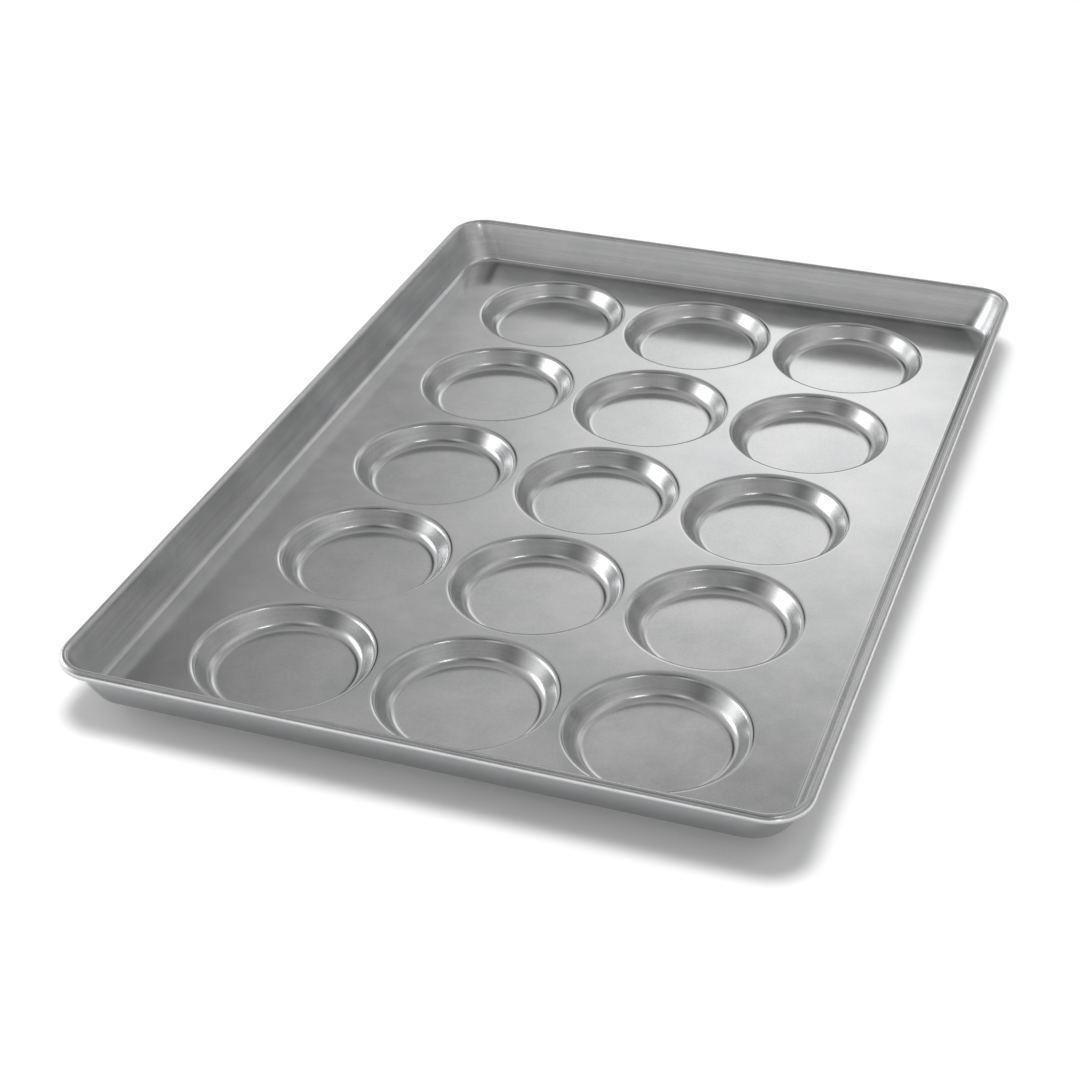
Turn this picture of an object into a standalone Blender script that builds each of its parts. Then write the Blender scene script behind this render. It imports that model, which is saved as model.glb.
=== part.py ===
"""Muffin top pan: one drawn steel sheet with fifteen shallow cups, and the wire in its rolled rim.

Metres, +Z up, +X across the short side, +Y along the long side. The origin is the middle of
the pan, at the height of the face that it rests on. Heights inside the functions are measured
from the top of the flat web between the cups.
"""
import math

import bmesh
import bpy
from mathutils import Vector

# Sheet and outer sizes
SHEET = 0.0006
OUTER_WIDTH = 0.454
OUTER_LENGTH = 0.657
RIM_HEIGHT = 0.0297         # top of the rim above the web
RIM_CORNER_RADIUS = 0.026   # outside of the rim, seen from above
WEB_CORNER_RADIUS = 0.023   # edge of the flat web, seen from above
WALL_ANGLE = 17.4           # lean of the side walls from upright, degrees
FLOOR_BEND_RADIUS = 0.004   # inside bend between web and wall

# Rolled rim and its wire
WIRE_DIAMETER = 0.0042
WIRE_CLEARANCE = 0.0004     # all round, between wire and sheet
WIRE_BUTT_GAP = 0.001       # between the two ends of the wire
CURL_SWEEP = 306.0          # how far the sheet wraps round the wire, degrees

# Cups
CUP_DIAMETER = 0.109        # across the mouth, where wall and web would meet unrounded
CUP_DEPTH = 0.0125
CUP_WALL_ANGLE = 33.0       # lean of the cup wall from upright, degrees
CUP_LIP_RADIUS = 0.0046
CUP_FLOOR_RADIUS = 0.0081
LAND_ACROSS = 0.0042        # flat web between neighbouring lips, across the pan
LAND_ALONG = 0.0053         # the same along the pan
LEAST_MARGIN = 0.005        # flat web kept between the outer lips and the walls

# Fineness of the facets
CUP_SEGMENTS = 24
LIP_STEPS = 2
CUP_FLOOR_STEPS = 3
CORNER_STEPS = 6
BEND_STEPS = 3
CURL_STEPS = 17
WIRE_SEGMENTS = 12

BEAD_RADIUS = WIRE_DIAMETER / 2 + WIRE_CLEARANCE + SHEET
REST_HEIGHT = CUP_DEPTH + SHEET


def arc(centre, radius, start, end, steps):
    """Points of an arc from one angle to another, both in degrees."""
    angles = [math.radians(start + (end - start) * i / steps) for i in range(steps + 1)]
    return [(centre[0] + radius * math.cos(a), centre[1] + radius * math.sin(a)) for a in angles]


def bead_centre():
    """Middle of the rolled rim as (distance outside the web's edge, height)."""
    lean = math.radians(WALL_ANGLE)
    height = RIM_HEIGHT - BEAD_RADIUS
    reach = FLOOR_BEND_RADIUS + (height - FLOOR_BEND_RADIUS) * math.sin(lean) + BEAD_RADIUS
    return reach / math.cos(lean), height


def web_size():
    """Width and length of the flat web, between the bends."""
    inset = 2 * (bead_centre()[0] + BEAD_RADIUS)
    return OUTER_WIDTH - inset, OUTER_LENGTH - inset


def rim_sections(under):
    """Web edge, bend, wall and curl of the face that lies this far under the visible one.

    Each section is (distance outside the web's edge, height, corner radius seen from above).
    The bend keeps one radius at the corners, so it leans out further there and blends into the
    wall. The curl stays round about its own centre line.
    """
    bead = bead_centre()
    start = 180 - WALL_ANGLE
    bend = arc((0.0, FLOOR_BEND_RADIUS), FLOOR_BEND_RADIUS + under, -90, -WALL_ANGLE, BEND_STEPS)
    curl = arc(bead, BEAD_RADIUS - under, start, start - CURL_SWEEP, CURL_STEPS)
    thickness_share = under / (FLOOR_BEND_RADIUS + under)
    bead_corner = RIM_CORNER_RADIUS - BEAD_RADIUS
    return ([(out, z, WEB_CORNER_RADIUS + out * thickness_share) for out, z in bend]
            + [(out, z, bead_corner + out - bead[0]) for out, z in curl])


def cup_profile(under):
    """Cup wall from the web in to the floor, as (radius, height)."""
    lean = math.radians(CUP_WALL_ANGLE)
    rise = 1 - math.sin(lean)
    floor_x = (CUP_DIAMETER / 2 - (CUP_DEPTH - CUP_FLOOR_RADIUS * rise) * math.tan(lean)
               - CUP_FLOOR_RADIUS * math.cos(lean))
    lip = arc((lip_reach(), -CUP_LIP_RADIUS), CUP_LIP_RADIUS - under, 90, 180 - CUP_WALL_ANGLE, LIP_STEPS)
    floor = arc((floor_x, CUP_FLOOR_RADIUS - CUP_DEPTH), CUP_FLOOR_RADIUS + under,
                -CUP_WALL_ANGLE, -90, CUP_FLOOR_STEPS)
    return lip + floor


def lip_reach():
    """Distance from the middle of a cup to where its lip leaves the flat web."""
    lean = math.radians(CUP_WALL_ANGLE)
    return CUP_DIAMETER / 2 + CUP_LIP_RADIUS * (math.cos(lean) - (1 - math.sin(lean)) * math.tan(lean))


def cup_line(span, land):
    """Centres of the cups that fit side by side in one direction, spaced by the land between lips."""
    pitch = 2 * lip_reach() + land
    count = int((span - 2 * LEAST_MARGIN + land) / pitch)
    return [(i - (count - 1) / 2) * pitch for i in range(count)]


def rounded_ring(bm, out, z, radius):
    """Edges of a rounded rectangle this far outside the web's edge."""
    width, length = web_size()
    corners = [bm.verts.new((sx * (width / 2 + out), sy * (length / 2 + out), z))
               for sx, sy in ((-1, -1), (1, -1), (1, 1), (-1, 1))]
    known = set(bm.faces)
    bm.faces.new(corners)
    bmesh.ops.bevel(bm, geom=corners, offset=radius, offset_type="OFFSET", segments=CORNER_STEPS,
                    profile=0.5, affect="VERTICES", clamp_overlap=False, material=-1)
    plate = next(face for face in bm.faces if face not in known)
    edges = list(plate.edges)
    bmesh.ops.delete(bm, geom=[plate], context="FACES_ONLY")
    return edges


def circle_ring(bm, x, y, z, radius):
    """Edges of a circle round the middle of a cup."""
    made = bmesh.ops.create_circle(bm, cap_ends=False, segments=CUP_SEGMENTS, radius=radius)
    bmesh.ops.translate(bm, verts=made["verts"], vec=(x, y, z))
    return list({e for v in made["verts"] for e in v.link_edges})


def join_rings(bm, rings):
    """Faces between each ring and the next."""
    for ring, following in zip(rings, rings[1:]):
        bmesh.ops.bridge_loops(bm, edges=ring + following)


def build_face_of_sheet(bm, under):
    """One face of the sheet. Returns the free edge of its curl."""
    rim = [rounded_ring(bm, *section) for section in rim_sections(under)]
    join_rings(bm, rim)
    web_edges = list(rim[0])
    width, length = web_size()
    for x in cup_line(width, LAND_ACROSS):
        for y in cup_line(length, LAND_ALONG):
            cup = [circle_ring(bm, x, y, z, radius) for radius, z in cup_profile(under)]
            join_rings(bm, cup)
            bmesh.ops.contextual_create(bm, geom=cup[-1])
            web_edges += cup[0]
    bmesh.ops.triangle_fill(bm, use_beauty=True, edges=web_edges, normal=(0, 0, 1))
    return rim[-1]


def build_shell(bm):
    """Both faces of the sheet, joined along the free edge of the curl."""
    upper = build_face_of_sheet(bm, 0.0)
    lower = build_face_of_sheet(bm, SHEET)
    bmesh.ops.bridge_loops(bm, edges=upper + lower)


def extrude_by(bm, edges, offset):
    """Extrude loose edges in a straight line and return the new ones."""
    made = bmesh.ops.extrude_edge_only(bm, edges=edges)["geom"]
    verts = {g for g in made if isinstance(g, bmesh.types.BMVert)}
    bmesh.ops.translate(bm, verts=list(verts), vec=offset)
    return [g for g in made if isinstance(g, bmesh.types.BMEdge) and set(g.verts) <= verts]


def build_wire(bm):
    """Round wire bent round the pan, its two ends butted in the middle of one short side."""
    cx, cy = OUTER_WIDTH / 2 - RIM_CORNER_RADIUS, OUTER_LENGTH / 2 - RIM_CORNER_RADIUS
    height = bead_centre()[1]
    ring = arc((OUTER_LENGTH / 2 - BEAD_RADIUS, height), WIRE_DIAMETER / 2, 0, 360, WIRE_SEGMENTS)[:-1]
    half_gap = WIRE_BUTT_GAP / 2
    verts = [bm.verts.new((half_gap, y, z)) for y, z in ring]
    first = [bm.edges.new(pair) for pair in zip(verts, verts[1:] + verts[:1])]
    edges = extrude_by(bm, first, Vector((cx - half_gap, 0, 0)))
    legs = ((cx, cy, (0, -2 * cy, 0)), (cx, -cy, (-2 * cx, 0, 0)),
            (-cx, -cy, (0, 2 * cy, 0)), (-cx, cy, (cx - half_gap, 0, 0)))
    for x, y, leg in legs:
        turned = bmesh.ops.spin(bm, geom=edges + list({v for e in edges for v in e.verts}),
                                cent=(x, y, 0), axis=(0, 0, 1), angle=-math.pi / 2,
                                steps=CORNER_STEPS, use_merge=False, use_duplicate=False)
        edges = [g for g in turned["geom_last"] if isinstance(g, bmesh.types.BMEdge)]
        edges = extrude_by(bm, edges, Vector(leg))
    bmesh.ops.contextual_create(bm, geom=first)
    bmesh.ops.contextual_create(bm, geom=edges)


def steel(name, grey, roughness):
    """Plain metal for one node."""
    material = bpy.data.materials.new(name)
    material.use_nodes = True
    shader = material.node_tree.nodes["Principled BSDF"]
    shader.inputs["Base Color"].default_value = (grey, grey, grey, 1)
    shader.inputs["Metallic"].default_value = 1.0
    shader.inputs["Roughness"].default_value = roughness
    return material


def make_node(name, build, material):
    """Run a builder and keep what it makes as one named object that rests at height zero."""
    bm = bmesh.new()
    build(bm)
    bmesh.ops.translate(bm, verts=bm.verts[:], vec=(0, 0, REST_HEIGHT))
    bmesh.ops.recalc_face_normals(bm, faces=bm.faces[:])
    for face in bm.faces:
        face.smooth = True
    for edge in bm.edges:
        edge.smooth = edge.calc_face_angle(0) < math.radians(40)
    mesh = bpy.data.meshes.new(name)
    bm.to_mesh(mesh)
    bm.free()
    mesh.materials.append(material)
    node = bpy.data.objects.new(name, mesh)
    bpy.context.scene.collection.objects.link(node)
    # Large flat faces keep their own normals where they meet the small facets of a bend
    node.modifiers.new("flat_faces", "WEIGHTED_NORMAL").keep_sharp = True


def main():
    for old in list(bpy.data.objects):
        bpy.data.objects.remove(old, do_unlink=True)
    make_node("pan_shell", build_shell, steel("aluminised_steel", 0.52, 0.3))
    make_node("rim_wire", build_wire, steel("drawn_steel_wire", 0.36, 0.42))


main()
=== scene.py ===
"""Muffin top pan of glazed aluminised steel on a white studio floor.

Metres, +Z up, +X across the short side and +Y along the long side, as in the frame.
"""
import math

import bmesh
import bpy
from mathutils import Matrix, Vector


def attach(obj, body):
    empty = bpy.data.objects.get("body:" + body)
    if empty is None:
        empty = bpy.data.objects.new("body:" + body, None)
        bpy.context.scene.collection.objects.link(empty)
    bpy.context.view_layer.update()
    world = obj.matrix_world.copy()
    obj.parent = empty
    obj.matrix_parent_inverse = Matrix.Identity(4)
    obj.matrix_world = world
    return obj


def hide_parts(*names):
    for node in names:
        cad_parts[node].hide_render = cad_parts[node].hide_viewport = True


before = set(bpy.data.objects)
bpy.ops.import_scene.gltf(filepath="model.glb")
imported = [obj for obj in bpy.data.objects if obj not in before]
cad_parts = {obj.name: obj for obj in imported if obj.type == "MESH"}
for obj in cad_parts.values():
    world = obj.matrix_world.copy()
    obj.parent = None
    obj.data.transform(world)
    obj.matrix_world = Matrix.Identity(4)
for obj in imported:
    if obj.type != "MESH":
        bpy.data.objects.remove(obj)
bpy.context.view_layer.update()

# Sizes of the pan, in metres and degrees, as in its CAD model
SHEET = 0.0006
OUTER_WIDTH = 0.454
OUTER_LENGTH = 0.657
RIM_HEIGHT = 0.0297
RIM_CORNER_RADIUS = 0.026
WEB_CORNER_RADIUS = 0.023
WALL_ANGLE = 17.4
FLOOR_BEND_RADIUS = 0.004
BEAD_RADIUS = 0.0031
CURL_SWEEP = 306.0
CUP_COLUMNS = 3
CUP_ROWS = 5
CUP_DIAMETER = 0.109
CUP_DEPTH = 0.0125
CUP_WALL_ANGLE = 33.0
CUP_LIP_RADIUS = 0.0046
CUP_FLOOR_RADIUS = 0.0081
LAND_ACROSS = 0.0042
LAND_ALONG = 0.0053
REST_HEIGHT = CUP_DEPTH + SHEET     # from the floor up to the top of the web
FLAT_EDGE = 0.001                   # flat land kept beside each curve, so that it shades flat
WALL_DISH = 4.0                     # how much more the wall leans at its foot, and less at its top

# Fineness of the facets
CUP_SEGMENTS = 96
BEND_STEPS = 8
CORNER_STEPS = 12
CURL_STEPS = 51
WALL_STEPS = 8


def arc(centre, radius, start, end, steps):
    """Points of an arc from one angle to another, both in degrees."""
    angles = [math.radians(start + (end - start) * i / steps) for i in range(steps + 1)]
    return [(centre[0] + radius * math.cos(a), centre[1] + radius * math.sin(a)) for a in angles]


def bead_centre():
    """Middle of the rolled rim as (distance outside the web's edge, height)."""
    lean = math.radians(WALL_ANGLE)
    height = RIM_HEIGHT - BEAD_RADIUS
    reach = FLOOR_BEND_RADIUS + (height - FLOOR_BEND_RADIUS) * math.sin(lean) + BEAD_RADIUS
    return reach / math.cos(lean), height


def rim_sections():
    """Web edge, bend, wall and curl, as (distance outside the web's edge, height, corner radius).

    Springback leaves the drawn wall slightly dished, within half a millimetre of a flat one.
    """
    bead = bead_centre()
    bead_corner = RIM_CORNER_RADIUS - BEAD_RADIUS
    bend = arc((0.0, FLOOR_BEND_RADIUS), FLOOR_BEND_RADIUS, -90, -WALL_ANGLE - WALL_DISH, BEND_STEPS)
    faced = 180 - WALL_ANGLE    # where the middle of the wall faces
    curl = arc(bead, BEAD_RADIUS, faced + WALL_DISH, faced - CURL_SWEEP, CURL_STEPS)
    curl = [(out, z, bead_corner + out - bead[0]) for out, z in curl]
    sections = [(out, z, WEB_CORNER_RADIUS) for out, z in [(-FLAT_EDGE, 0.0)] + bend]
    foot, top = sections[-1], curl[0]
    dish = (top[1] - foot[1]) * math.tan(math.radians(WALL_DISH / 2)) / 2
    for step in range(1, WALL_STEPS):
        share = step / WALL_STEPS
        out, z, radius = (a + (b - a) * share for a, b in zip(foot, top))
        sections.append((out + 4 * dish * share * (1 - share), z, radius))
    return sections + curl


def lip_reach():
    """Distance from the middle of a cup to where its lip leaves the flat web."""
    lean = math.radians(CUP_WALL_ANGLE)
    beyond = math.cos(lean) - (1 - math.sin(lean)) * math.tan(lean)
    return CUP_DIAMETER / 2 + CUP_LIP_RADIUS * beyond


def cup_profile():
    """Cup wall from the web in to the floor, as (radius, height)."""
    lean = math.radians(CUP_WALL_ANGLE)
    straight = CUP_DEPTH - CUP_FLOOR_RADIUS * (1 - math.sin(lean))
    floor_x = CUP_DIAMETER / 2 - straight * math.tan(lean) - CUP_FLOOR_RADIUS * math.cos(lean)
    lip = arc((lip_reach(), -CUP_LIP_RADIUS), CUP_LIP_RADIUS, 90, 180 - CUP_WALL_ANGLE, BEND_STEPS)
    floor = arc((floor_x, CUP_FLOOR_RADIUS - CUP_DEPTH), CUP_FLOOR_RADIUS,
                -CUP_WALL_ANGLE, -90, BEND_STEPS)
    return [(lip_reach() + FLAT_EDGE, 0.0)] + lip + floor + [(floor_x - FLAT_EDGE, -CUP_DEPTH)]


def new_parts(made, kind):
    """The vertices or edges among what an operator made."""
    return [part for part in made["geom"] if isinstance(part, kind)]


def draw_cups(bm):
    """One cup from rings, then its copies over the pan. Returns the open edges of their mouths."""
    rings = []
    for radius, z in cup_profile():
        made = bmesh.ops.create_circle(bm, cap_ends=False, segments=CUP_SEGMENTS, radius=radius)
        bmesh.ops.translate(bm, verts=made["verts"], vec=(0, 0, z))
        rings.append(list({edge for vert in made["verts"] for edge in vert.link_edges}))
    for ring, following in zip(rings, rings[1:]):
        bmesh.ops.bridge_loops(bm, edges=ring + following)
    bmesh.ops.contextual_create(bm, geom=rings[-1])
    verts = bm.verts[:]
    cup = bm.faces[:] + bm.edges[:] + verts
    for column in range(CUP_COLUMNS):
        for row in range(CUP_ROWS):
            x = (column - (CUP_COLUMNS - 1) / 2) * (2 * lip_reach() + LAND_ACROSS)
            y = (row - (CUP_ROWS - 1) / 2) * (2 * lip_reach() + LAND_ALONG)
            made = bmesh.ops.duplicate(bm, geom=cup)
            bmesh.ops.translate(bm, verts=new_parts(made, bmesh.types.BMVert), vec=(x, y, 0))
    bmesh.ops.delete(bm, geom=verts, context="VERTS")
    return [edge for edge in bm.edges if edge.is_boundary]


def draw_rim(bm):
    """Edge of the web, then side walls and rolled rim grown out of it. Returns the web's edge."""
    inset = 2 * (bead_centre()[0] + BEAD_RADIUS)
    size = ((OUTER_WIDTH - inset) / 2, (OUTER_LENGTH - inset) / 2)
    sections = rim_sections()
    last = sections[0]
    out, z, radius = last
    corners = [bm.verts.new((sx * (size[0] + out), sy * (size[1] + out), z))
               for sx, sy in ((-1, -1), (1, -1), (1, 1), (-1, 1))]
    others = set(bm.faces)
    bm.faces.new(corners)
    bmesh.ops.bevel(bm, geom=corners, offset=radius, offset_type="OFFSET", segments=CORNER_STEPS,
                    profile=0.5, affect="VERTICES", clamp_overlap=False, material=-1)
    plate = next(face for face in bm.faces if face not in others)
    first = edges = list(plate.edges)
    bmesh.ops.delete(bm, geom=[plate], context="FACES_ONLY")
    for section in sections[1:]:
        made = bmesh.ops.extrude_edge_only(bm, edges=edges)
        verts = new_parts(made, bmesh.types.BMVert)
        for vert in verts:
            # Each corner grows or shrinks about its own centre, which moves with the walls
            for axis in (0, 1):
                side = math.copysign(1.0, vert.co[axis])
                old = size[axis] + last[0] - last[2]
                new = size[axis] + section[0] - section[2]
                vert.co[axis] = side * (new + (side * vert.co[axis] - old) * section[2] / last[2])
            vert.co.z = section[1]
        edges = [edge for edge in new_parts(made, bmesh.types.BMEdge)
                 if set(edge.verts) <= set(verts)]
        last = section
    return first


def draw_shell():
    """The drawn sheet: cups, walls, rolled rim and the web between, given its thickness below."""
    bm = bmesh.new()
    edges = draw_cups(bm) + draw_rim(bm)
    bmesh.ops.triangle_fill(bm, use_beauty=True, edges=edges, normal=(0, 0, 1))
    bmesh.ops.recalc_face_normals(bm, faces=bm.faces[:])
    lowest = min(bm.faces, key=lambda face: face.calc_center_median().z)
    if lowest.normal.z < 0:
        bmesh.ops.reverse_faces(bm, faces=bm.faces[:])
    bmesh.ops.translate(bm, verts=bm.verts[:], vec=(0, 0, REST_HEIGHT))
    mesh = bpy.data.meshes.new("drawn_shell")
    bm.to_mesh(mesh)
    bm.free()
    mesh.shade_smooth()
    shell = bpy.data.objects.new("drawn_shell", mesh)
    bpy.context.scene.collection.objects.link(shell)
    sheet = shell.modifiers.new("sheet", "SOLIDIFY")
    sheet.thickness = SHEET
    sheet.offset = -1.0
    sheet.use_even_offset = True
    return shell


# Sockets of a Mix node for two colours and their mix, by number because their names repeat
MIX_FIRST, MIX_SECOND, MIXED = 6, 7, 2

# Levels that noise mostly keeps between
NOISE_SPAN = (0.3, 0.7)


def colour(code):
    """Linear colour from an sRGB hex value."""
    parts = [int(code[i:i + 2], 16) / 255 for i in (0, 2, 4)]
    linear = [c / 12.92 if c <= 0.04045 else ((c + 0.055) / 1.055) ** 2.4 for c in parts]
    return (*linear, 1.0)


def add_node(tree, kind, inputs=None, **settings):
    """A node with its settings, and with its inputs set or linked."""
    node = tree.nodes.new(kind)
    for name, value in settings.items():
        setattr(node, name, value)
    for name, value in (inputs or {}).items():
        if isinstance(value, bpy.types.NodeSocket):
            tree.links.new(value, node.inputs[name])
        else:
            node.inputs[name].default_value = value
    return node


def new_material(name, metallic):
    """A material, with its node tree and its shader."""
    material = bpy.data.materials.new(name)
    material.use_nodes = True
    shader = material.node_tree.nodes["Principled BSDF"]
    shader.inputs["Metallic"].default_value = metallic
    return material, material.node_tree, shader


def noise(tree, place, size, detail, stretch=(1.0, 1.0, 1.0)):
    """Noise with grains of a size in millimetres, drawn out along each axis by its stretch."""
    scale = Vector(1000.0 / (size * factor) for factor in stretch)
    spread = add_node(tree, "ShaderNodeMapping", {"Vector": place, "Scale": scale})
    inputs = {"Vector": spread.outputs[0], "Scale": 1.0, "Detail": detail, "Roughness": 0.55}
    return add_node(tree, "ShaderNodeTexNoise", inputs).outputs["Fac"]


def layered(tree, *layers):
    """The sum of values, each carried from its own span to the range that it adds."""
    total = None
    for value, (start, end), low, high in layers:
        inputs = {"Value": value, "From Min": start, "From Max": end, "To Min": low, "To Max": high}
        layer = add_node(tree, "ShaderNodeMapRange", inputs).outputs[0]
        if total is None:
            total = layer
        else:
            total = add_node(tree, "ShaderNodeMath", {0: total, 1: layer}, operation="ADD").outputs[0]
    return total


def embossed(tree, *layers):
    """A normal that carries height patterns, each with its depth in millimetres."""
    normal = None
    for height, depth in layers:
        inputs = {"Height": height, "Distance": depth / 1000.0, "Strength": 1.0}
        if normal is not None:
            inputs["Normal"] = normal
        normal = add_node(tree, "ShaderNodeBump", inputs).outputs["Normal"]
    return normal


def glazed_aluminised_steel():
    """Steel sheet with a hot-dipped aluminium-silicon coating, and a clear baked glaze inside.

    The coating has a fine dull grain. The press leaves faint lines that run round each wall, and
    scuffs the walls duller than the flat parts. The wide flat parts are not quite flat. Faces that
    point down, on the outside and the underside, get a greyer colour: painted shade that stands in
    for the darker floor that they mirror.
    """
    material, tree, shader = new_material("glazed_aluminised_steel", metallic=1.0)
    coords = add_node(tree, "ShaderNodeTexCoord").outputs
    place = coords["Object"]
    height = add_node(tree, "ShaderNodeSeparateXYZ", {"Vector": place}).outputs["Z"]
    facing = add_node(tree, "ShaderNodeSeparateXYZ", {"Vector": coords["Normal"]}).outputs["Z"]
    grain = noise(tree, place, size=1.3, detail=3.0)
    cloud = noise(tree, place, size=28.0, detail=3.0)
    lines = noise(tree, place, size=1.6, detail=2.0, stretch=(60.0, 60.0, 1.0))
    bands = noise(tree, place, size=7.0, detail=1.0, stretch=(40.0, 40.0, 1.0))
    wave = noise(tree, place, size=90.0, detail=1.0)

    # Colour, with painted shade: greyer where the surface faces down
    tone = layered(tree, (grain, NOISE_SPAN, -0.2, 0.2), (cloud, NOISE_SPAN, -0.3, 0.3),
                   (lines, NOISE_SPAN, 0.0, 0.5), (bands, NOISE_SPAN, 0.0, 0.5))
    glazed = add_node(tree, "ShaderNodeValToRGB", {"Fac": tone})
    glazed.color_ramp.elements[0].color = colour("c6c7c8")
    glazed.color_ramp.elements[1].color = colour("dcdcdc")
    # Painted shade: faces that point down are made greyer, standing in for the darker floor they
    # mirror
    painted_shade_below = layered(tree, (facing, (-0.05, 0.15), 1.0, 0.0))
    tint = add_node(tree, "ShaderNodeMix", {"Factor": painted_shade_below, MIX_FIRST: glazed.outputs["Color"],
                                            MIX_SECOND: colour("b0b1b2")}, data_type="RGBA")
    tree.links.new(tint.outputs[MIXED], shader.inputs["Base Color"])

    # Roughness, more up the side walls and on the cup walls
    sides = layered(tree, (height, (REST_HEIGHT + 0.001, REST_HEIGHT + 0.006), 0.0, 0.11),
                    (cloud, NOISE_SPAN, 0.11, 0.15))
    under_web = layered(tree, (height, (REST_HEIGHT - 0.003, REST_HEIGHT), 0.1, 0.0))
    over_floors = layered(tree, (height, (SHEET, SHEET + 0.004), 0.03, 0.1))
    cups = add_node(tree, "ShaderNodeMath", {0: under_web, 1: over_floors}, operation="MINIMUM")
    dull = add_node(tree, "ShaderNodeMath", {0: sides, 1: cups.outputs[0]}, operation="ADD")
    tree.links.new(dull.outputs[0], shader.inputs["Roughness"])

    # Relief, from the widest pattern to the finest
    normal = embossed(tree, (wave, 0.35), (bands, 0.07), (lines, 0.004), (grain, 0.003))
    tree.links.new(normal, shader.inputs["Normal"])
    return material


def drawn_steel_wire():
    """Bare bright-drawn steel wire: greyer than the sheet, with fine lines along its length."""
    material, tree, shader = new_material("drawn_steel_wire", metallic=1.0)
    place = add_node(tree, "ShaderNodeTexCoord").outputs["Object"]
    lines = noise(tree, place, size=0.35, detail=2.0, stretch=(80.0, 80.0, 1.0))
    stain = noise(tree, place, size=14.0, detail=3.0)
    tone = layered(tree, (lines, NOISE_SPAN, 0.0, 0.5), (stain, NOISE_SPAN, 0.0, 0.5))
    tint = add_node(tree, "ShaderNodeValToRGB", {"Fac": tone})
    tint.color_ramp.elements[0].color = colour("77726c")
    tint.color_ramp.elements[1].color = colour("a3a19e")
    tree.links.new(tint.outputs["Color"], shader.inputs["Base Color"])
    tree.links.new(layered(tree, (stain, NOISE_SPAN, 0.28, 0.42)), shader.inputs["Roughness"])
    tree.links.new(embossed(tree, (lines, 0.004)), shader.inputs["Normal"])
    return material


# Strength of the surroundings by the sine of their elevation
SKY = ((0.0, 0.6), (0.08, 0.55), (0.25, 0.42), (0.5, 0.33), (0.75, 0.42), (0.9, 0.4), (1.0, 0.3))

# Cards of light and dark far round the pan, placed by what its floors, web and walls mirror:
# azimuth from +Y toward +X, elevation, half width, half height and roll in degrees, how softly
# the card fades to its edge, up to 1, and the strength that its middle adds
CARDS = (
    (-13, 27.6, 14, 11, -20, 1.0, 1.4),     # lit backdrop behind the pan, its brightest part
    (-30, 20.7, 10, 10, 0, 0.9, 0.8),       # its lower left part
    (-27, 31.2, 12.5, 10, -43, 1.0, 0.5),   # its slanting left part
    (6, 35, 18, 8, 0, 1.0, 0.45),           # its upper right part
    (24, 27, 16, 10, 0, 1.0, 0.5),          # its right end
    (-28.5, 27.6, 40, 8, -21, 0.9, -0.55),  # dark slanting edge across its left
    (-88, 18, 60, 34, -25, 1.0, 0.6),       # spill round the left soft box
    (-47, 22, 16, 40, 20, 0.6, 0.2),        # pale strip between soft box and backdrop
    (-118, 4, 22, 14, 0, 1.0, 0.5),         # spill low in front of the soft box
    (36, 2, 26, 14, 0, 1.0, -0.2),          # dark end of the room, right of the backdrop
    (110, 32, 48, 20, 0, 1.0, 0.25),        # pale wall at the right
    (60, 52, 40, 14, 0, 1.0, 0.25),         # pale ceiling at the right
    (143, 8, 6, 9, 0, 0.5, 4.0),            # narrow strip light in front at the right
    (-27, 40, 13, 9, 0, 1.0, 0.16),         # glow above the backdrop
    (-138, 32, 30, 18, 0, 1.0, -0.18),      # dark wall in front at the left
    (-160, 4, 45, 14, 0, 1.0, 0.16),        # pale line low in front
    (-156, 50, 16, 12, 0, 1.0, 0.5),        # light over the camera, to its left
    (-130, 72, 16, 9, 0, 1.0, -0.1),        # dark ceiling above that light
    (-172, 66, 32, 20, 0, 1.0, -0.26),      # dark ceiling over the camera
)


def faded(tree, local, soft, strength):
    """A light that fades from its middle out to a distance of 1."""
    inside = add_node(tree, "ShaderNodeTexGradient", {"Vector": local}, gradient_type="SPHERICAL")
    inputs = {"Value": inside.outputs["Fac"], "From Max": soft, "To Max": strength}
    return add_node(tree, "ShaderNodeMapRange", inputs, interpolation_type="SMOOTHSTEP").outputs[0]


def soft_card(tree, azimuth, elevation, half_width, half_height, roll, soft, strength):
    """What one card adds to the surroundings."""
    a, e, t = math.radians(azimuth), math.radians(elevation), math.radians(roll)
    middle = Vector((math.sin(a) * math.cos(e), math.cos(a) * math.cos(e), math.sin(e)))
    right = Vector((math.cos(a), -math.sin(a), 0))
    up = right.cross(middle)
    across = right * math.cos(t) + up * math.sin(t)
    upward = up * math.cos(t) - right * math.sin(t)
    turn = Matrix((across, upward, middle)).transposed()
    width, height = math.sin(math.radians(half_width)), math.sin(math.radians(half_height))
    where = add_node(tree, "ShaderNodeTexCoord").outputs["Generated"]
    inputs = {"Vector": where, "Location": middle, "Rotation": turn.to_euler(),
              "Scale": (width, height, max(width, height))}
    local = add_node(tree, "ShaderNodeMapping", inputs, vector_type="TEXTURE").outputs[0]
    return faded(tree, local, soft, strength)


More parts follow.
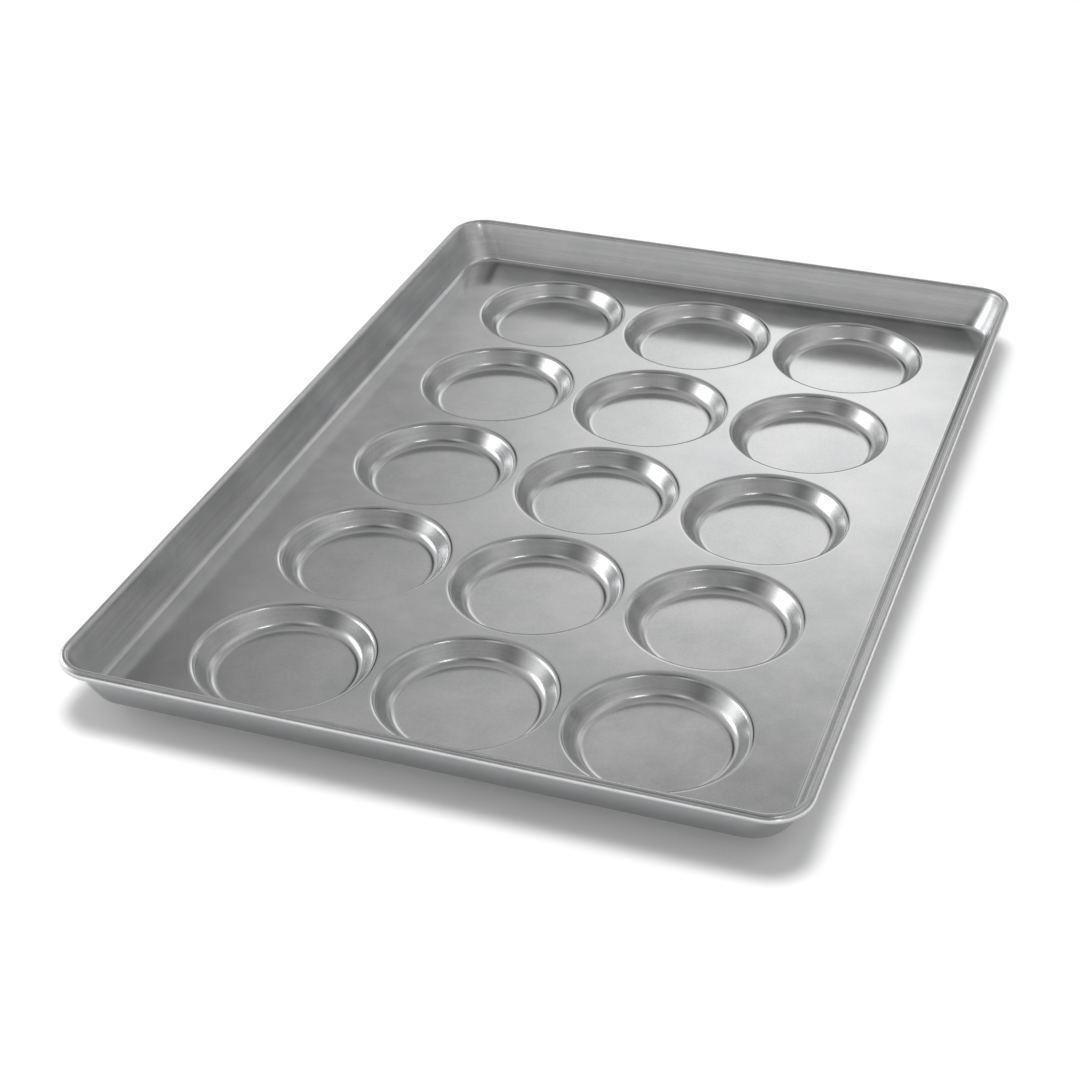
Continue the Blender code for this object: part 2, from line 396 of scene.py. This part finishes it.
def studio_light():
    """Grey surroundings with the cards in them. The camera itself sees plain white behind the pan."""
    world = bpy.data.worlds.new("studio")
    bpy.context.scene.world = world
    world.use_nodes = True
    tree = world.node_tree
    where = add_node(tree, "ShaderNodeTexCoord").outputs["Generated"]
    height = add_node(tree, "ShaderNodeSeparateXYZ", {"Vector": where}).outputs["Z"]
    level = add_node(tree, "ShaderNodeFloatCurve", {"Value": height})
    points = level.mapping.curves[0].points
    points[0].location, points[1].location = SKY[0], SKY[-1]
    for sine, strength in SKY[1:-1]:
        points.new(sine, strength)
    level.mapping.update()
    total = level.outputs[0]
    for card in CARDS:
        total = add_node(tree, "ShaderNodeMath", {0: total, 1: soft_card(tree, *card)},
                         operation="ADD").outputs[0]
    seen = add_node(tree, "ShaderNodeLightPath").outputs["Is Camera Ray"]
    inputs = {"Factor": seen, "A": total, "B": 1.0}
    strength = add_node(tree, "ShaderNodeMix", inputs, data_type="FLOAT")
    sky = tree.nodes["Background"]
    sky.inputs["Color"].default_value = (1, 1, 1, 1)
    tree.links.new(strength.outputs[0], sky.inputs["Strength"])


def soft_box(name, place, size, radiance, soft=0.6, in_metal=True):
    """Lamp that faces the pan and fades to its edge, with the radiance that its middle has."""
    lamp = bpy.data.lights.new(name, "AREA")
    lamp.shape = "RECTANGLE"
    lamp.size, lamp.size_y = size
    lamp.energy = radiance * math.pi * size[0] * size[1]
    lamp.use_nodes = True
    tree = lamp.node_tree
    across = add_node(tree, "ShaderNodeTexCoord").outputs["UV"]
    inputs = {"Vector": across, "Location": (-1, -1, 0), "Scale": (2, 2, 0)}
    centred = add_node(tree, "ShaderNodeMapping", inputs).outputs[0]
    tree.links.new(faded(tree, centred, soft, 1.0), tree.nodes["Emission"].inputs["Strength"])
    piece = bpy.data.objects.new(name, lamp)
    bpy.context.scene.collection.objects.link(piece)
    piece.location = place
    piece.rotation_euler = Vector(place).to_track_quat("Z", "Y").to_euler()
    piece.visible_glossy = in_metal


def soft_boxes():
    """Wide box low at the left, small one high in front at the right, and one over the floor.

    The last one is left out of what metal mirrors.
    """
    soft_box("left_box", (-1.09, -0.07, 0.43), (1.1, 0.68), 2.1, 0.85)
    soft_box("front_box", (0.9, -0.8, 1.86), (0.7, 0.26), 3.6)
    soft_box("floor_box", (0.0, -0.25, 4.5), (2.4, 2.4), 18.5, in_metal=False)


def studio_floor():
    """White floor that keeps the pan's shadow."""
    bm = bmesh.new()
    bmesh.ops.create_grid(bm, x_segments=1, y_segments=1, size=6.0)
    mesh = bpy.data.meshes.new("studio_floor")
    bm.to_mesh(mesh)
    bm.free()
    floor = bpy.data.objects.new("studio_floor", mesh)
    bpy.context.scene.collection.objects.link(floor)
    mesh.materials.append(matt_white_floor())


def matt_white_floor():
    """Matt white paper. It glows to plain white far from the pan, and is clear from below."""
    material, tree, shader = new_material("matt_white_floor", metallic=0.0)
    shader.inputs["Base Color"].default_value = colour("f4f4f4")
    shader.inputs["Roughness"].default_value = 0.9
    shader.inputs["Specular IOR Level"].default_value = 0.0
    shader.inputs["Emission Color"].default_value = (1, 1, 1, 1)
    path = add_node(tree, "ShaderNodeLightPath").outputs
    seen = add_node(tree, "ShaderNodeMath", {0: path["Is Camera Ray"], 1: path["Is Glossy Ray"]},
                    operation="MAXIMUM")
    place = add_node(tree, "ShaderNodeTexCoord").outputs["Object"]
    away = add_node(tree, "ShaderNodeVectorMath", {0: place}, operation="LENGTH").outputs["Value"]
    white = layered(tree, (away, (1.3, 3.0), 0.09, 1.0))
    glow = add_node(tree, "ShaderNodeMath", {0: seen.outputs[0], 1: white}, operation="MULTIPLY")
    tree.links.new(glow.outputs[0], shader.inputs["Emission Strength"])
    below = add_node(tree, "ShaderNodeNewGeometry").outputs["Backfacing"]
    clear = add_node(tree, "ShaderNodeBsdfTransparent").outputs[0]
    surface = add_node(tree, "ShaderNodeMixShader", {0: below, 1: shader.outputs[0], 2: clear})
    tree.links.new(surface.outputs[0], tree.nodes["Material Output"].inputs["Surface"])
    return material


# The photograph, in pixels: its side, the camera's focal length, and where its axis falls
PHOTO_SIDE = 1080
FOCAL_LENGTH = 2164.24
AXIS_X, AXIS_Y = 615.5, 465.97

# The point that the camera's axis meets, and the camera's own place seen from there, in metres
# and degrees, with azimuth from -Y toward +X
TARGET = Vector((0.002494, 0.033125, REST_HEIGHT))
DISTANCE = 1.49717
AZIMUTH, ELEVATION, ROLL = 18.62, 31.065, -0.34
SENSOR = 36.0   # millimetres


def camera():
    """Camera where the photograph was taken, fitted to the rim, the cups and the walls."""
    azimuth, elevation, roll = (math.radians(angle) for angle in (AZIMUTH, ELEVATION, ROLL))
    right = Vector((math.cos(azimuth), math.sin(azimuth), 0))
    away = Vector((math.sin(azimuth), -math.cos(azimuth), 0))
    back = away * math.cos(elevation) + Vector((0, 0, math.sin(elevation)))
    up = back.cross(right)
    side = right * math.cos(roll) + up * math.sin(roll)
    top = up * math.cos(roll) - right * math.sin(roll)
    lens = bpy.data.cameras.new("camera")
    lens.sensor_width = SENSOR
    lens.lens = FOCAL_LENGTH / PHOTO_SIDE * SENSOR
    lens.shift_x = (PHOTO_SIDE / 2 - AXIS_X) / PHOTO_SIDE
    lens.shift_y = (AXIS_Y - PHOTO_SIDE / 2) / PHOTO_SIDE
    view = bpy.data.objects.new("camera", lens)
    bpy.context.scene.collection.objects.link(view)
    turn = Matrix((side, top, back)).transposed().to_4x4()
    view.matrix_world = Matrix.Translation(TARGET + back * DISTANCE) @ turn
    bpy.context.scene.camera = view


bpy.context.scene.view_settings.view_transform = "Standard"
shell = draw_shell()
shell.data.materials.append(glazed_aluminised_steel())
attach(shell, "root")
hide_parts("pan_shell")
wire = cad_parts["rim_wire"]
wire.data.materials.clear()
wire.data.materials.append(drawn_steel_wire())
studio_light()
soft_boxes()
studio_floor()
camera()
